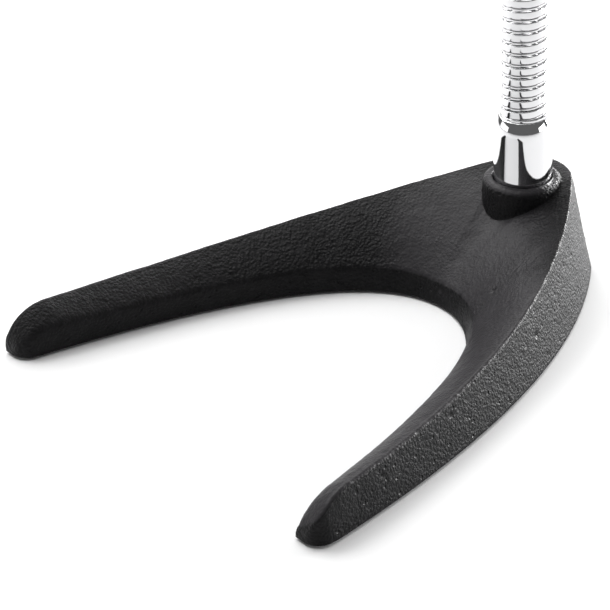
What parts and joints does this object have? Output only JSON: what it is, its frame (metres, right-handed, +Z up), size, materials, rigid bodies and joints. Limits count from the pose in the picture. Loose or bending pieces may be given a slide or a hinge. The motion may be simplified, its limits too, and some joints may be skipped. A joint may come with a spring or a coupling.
{
  "type": "weighted gooseneck stand",
  "caption": "Heavy black cast V-shaped tabletop base with a raised boss, chrome ferrules and a flexible chrome gooseneck ending in a male stand thread.",
  "frame": {"origin": "centre of the footprint box on the table", "axes": "+X from the stem towards the opening of the V, +Z up"},
  "size_m": [0.1906, 0.1585, 0.4208],
  "materials": {
    "black_casting": "black paint over a sand-cast skin, fine grain, satin",
    "foot_rubber": "matt",
    "zinc_steel": "zinc plated",
    "polished_chrome": "polished",
    "neck_chrome": "plated strip, satin polish"
  },
  "bodies": {
    "base": {"base_casting": "black_casting", "foot_pad_rear": "foot_rubber", "foot_pad_left": "foot_rubber", "foot_pad_right": "foot_rubber", "base_stud": "zinc_steel", "lock_washer": "zinc_steel", "hex_nut": "zinc_steel", "lower_ferrule": "polished_chrome", "lower_end_ring": "neck_chrome", "neck_root": "neck_chrome"},
    "neck_01": {"neck_link_01": "neck_chrome"},
    "neck_02": {"neck_link_02": "neck_chrome"},
    "neck_03": {"neck_link_03": "neck_chrome"},
    "neck_04": {"neck_link_04": "neck_chrome"},
    "neck_05": {"neck_link_05": "neck_chrome"},
    "neck_06": {"neck_link_06": "neck_chrome"},
    "neck_07": {"neck_link_07": "neck_chrome"},
    "neck_08": {"neck_link_08": "neck_chrome"},
    "neck_09": {"neck_link_09": "neck_chrome"},
    "neck_10": {"neck_link_10": "neck_chrome"},
    "neck_11": {"neck_link_11": "neck_chrome"},
    "neck_12": {"neck_link_12": "neck_chrome"},
    "neck_13": {"neck_link_13": "neck_chrome"},
    "neck_14": {"neck_link_14": "neck_chrome"},
    "neck_15": {"neck_link_15": "neck_chrome"},
    "neck_16": {"neck_link_16": "neck_chrome"},
    "neck_17": {"neck_link_17": "neck_chrome"},
    "neck_18": {"neck_link_18": "neck_chrome"},
    "neck_19": {"neck_link_19": "neck_chrome"},
    "neck_20": {"neck_link_20": "neck_chrome", "upper_end_ring": "neck_chrome", "upper_ferrule": "polished_chrome", "upper_nipple": "polished_chrome"}
  },
  "joints": [
    {"name": "nod_01", "type": "hinge", "parent": "base", "child": "neck_01", "pos_m": [-0.07067, 0, 0.0674], "axis": [0, 1, 0], "range_deg": [-8, 8]},
    {"name": "lean_02", "type": "hinge", "parent": "neck_01", "child": "neck_02", "pos_m": [-0.07067, 0, 0.0836], "axis": [1, 0, 0], "range_deg": [-8, 8]},
    {"name": "nod_03", "type": "hinge", "parent": "neck_02", "child": "neck_03", "pos_m": [-0.07067, 0, 0.0998], "axis": [0, 1, 0], "range_deg": [-8, 8]},
    {"name": "lean_04", "type": "hinge", "parent": "neck_03", "child": "neck_04", "pos_m": [-0.07067, 0, 0.116], "axis": [1, 0, 0], "range_deg": [-8, 8]},
    {"name": "nod_05", "type": "hinge", "parent": "neck_04", "child": "neck_05", "pos_m": [-0.07067, 0, 0.1322], "axis": [0, 1, 0], "range_deg": [-8, 8]},
    {"name": "lean_06", "type": "hinge", "parent": "neck_05", "child": "neck_06", "pos_m": [-0.07067, 0, 0.1484], "axis": [1, 0, 0], "range_deg": [-8, 8]},
    {"name": "nod_07", "type": "hinge", "parent": "neck_06", "child": "neck_07", "pos_m": [-0.07067, 0, 0.1646], "axis": [0, 1, 0], "range_deg": [-8, 8]},
    {"name": "lean_08", "type": "hinge", "parent": "neck_07", "child": "neck_08", "pos_m": [-0.07067, 0, 0.1808], "axis": [1, 0, 0], "range_deg": [-8, 8]},
    {"name": "nod_09", "type": "hinge", "parent": "neck_08", "child": "neck_09", "pos_m": [-0.07067, 0, 0.197], "axis": [0, 1, 0], "range_deg": [-8, 8]},
    {"name": "lean_10", "type": "hinge", "parent": "neck_09", "child": "neck_10", "pos_m": [-0.07067, 0, 0.2132], "axis": [1, 0, 0], "range_deg": [-8, 8]},
    {"name": "nod_11", "type": "hinge", "parent": "neck_10", "child": "neck_11", "pos_m": [-0.07067, 0, 0.2294], "axis": [0, 1, 0], "range_deg": [-8, 8]},
    {"name": "lean_12", "type": "hinge", "parent": "neck_11", "child": "neck_12", "pos_m": [-0.07067, 0, 0.2456], "axis": [1, 0, 0], "range_deg": [-8, 8]},
    {"name": "nod_13", "type": "hinge", "parent": "neck_12", "child": "neck_13", "pos_m": [-0.07067, 0, 0.2618], "axis": [0, 1, 0], "range_deg": [-8, 8]},
    {"name": "lean_14", "type": "hinge", "parent": "neck_13", "child": "neck_14", "pos_m": [-0.07067, 0, 0.278], "axis": [1, 0, 0], "range_deg": [-8, 8]},
    {"name": "nod_15", "type": "hinge", "parent": "neck_14", "child": "neck_15", "pos_m": [-0.07067, 0, 0.2942], "axis": [0, 1, 0], "range_deg": [-8, 8]},
    {"name": "lean_16", "type": "hinge", "parent": "neck_15", "child": "neck_16", "pos_m": [-0.07067, 0, 0.3104], "axis": [1, 0, 0], "range_deg": [-8, 8]},
    {"name": "nod_17", "type": "hinge", "parent": "neck_16", "child": "neck_17", "pos_m": [-0.07067, 0, 0.3266], "axis": [0, 1, 0], "range_deg": [-8, 8]},
    {"name": "lean_18", "type": "hinge", "parent": "neck_17", "child": "neck_18", "pos_m": [-0.07067, 0, 0.3428], "axis": [1, 0, 0], "range_deg": [-8, 8]},
    {"name": "nod_19", "type": "hinge", "parent": "neck_18", "child": "neck_19", "pos_m": [-0.07067, 0, 0.359], "axis": [0, 1, 0], "range_deg": [-8, 8]},
    {"name": "lean_20", "type": "hinge", "parent": "neck_19", "child": "neck_20", "pos_m": [-0.07067, 0, 0.3752], "axis": [1, 0, 0], "range_deg": [-8, 8]}
  ],
  "couplings": [
    {"joint": "nod_03", "follows": "nod_01", "ratio": 1},
    {"joint": "lean_04", "follows": "lean_02", "ratio": 1},
    {"joint": "nod_05", "follows": "nod_01", "ratio": 1},
    {"joint": "lean_06", "follows": "lean_02", "ratio": 1},
    {"joint": "nod_07", "follows": "nod_01", "ratio": 1},
    {"joint": "lean_08", "follows": "lean_02", "ratio": 1},
    {"joint": "nod_09", "follows": "nod_01", "ratio": 1},
    {"joint": "lean_10", "follows": "lean_02", "ratio": 1},
    {"joint": "nod_11", "follows": "nod_01", "ratio": 1},
    {"joint": "lean_12", "follows": "lean_02", "ratio": 1},
    {"joint": "nod_13", "follows": "nod_01", "ratio": 1},
    {"joint": "lean_14", "follows": "lean_02", "ratio": 1},
    {"joint": "nod_15", "follows": "nod_01", "ratio": 1},
    {"joint": "lean_16", "follows": "lean_02", "ratio": 1},
    {"joint": "nod_17", "follows": "nod_01", "ratio": 1},
    {"joint": "lean_18", "follows": "lean_02", "ratio": 1},
    {"joint": "nod_19", "follows": "nod_01", "ratio": 1},
    {"joint": "lean_20", "follows": "lean_02", "ratio": 1}
  ]
}
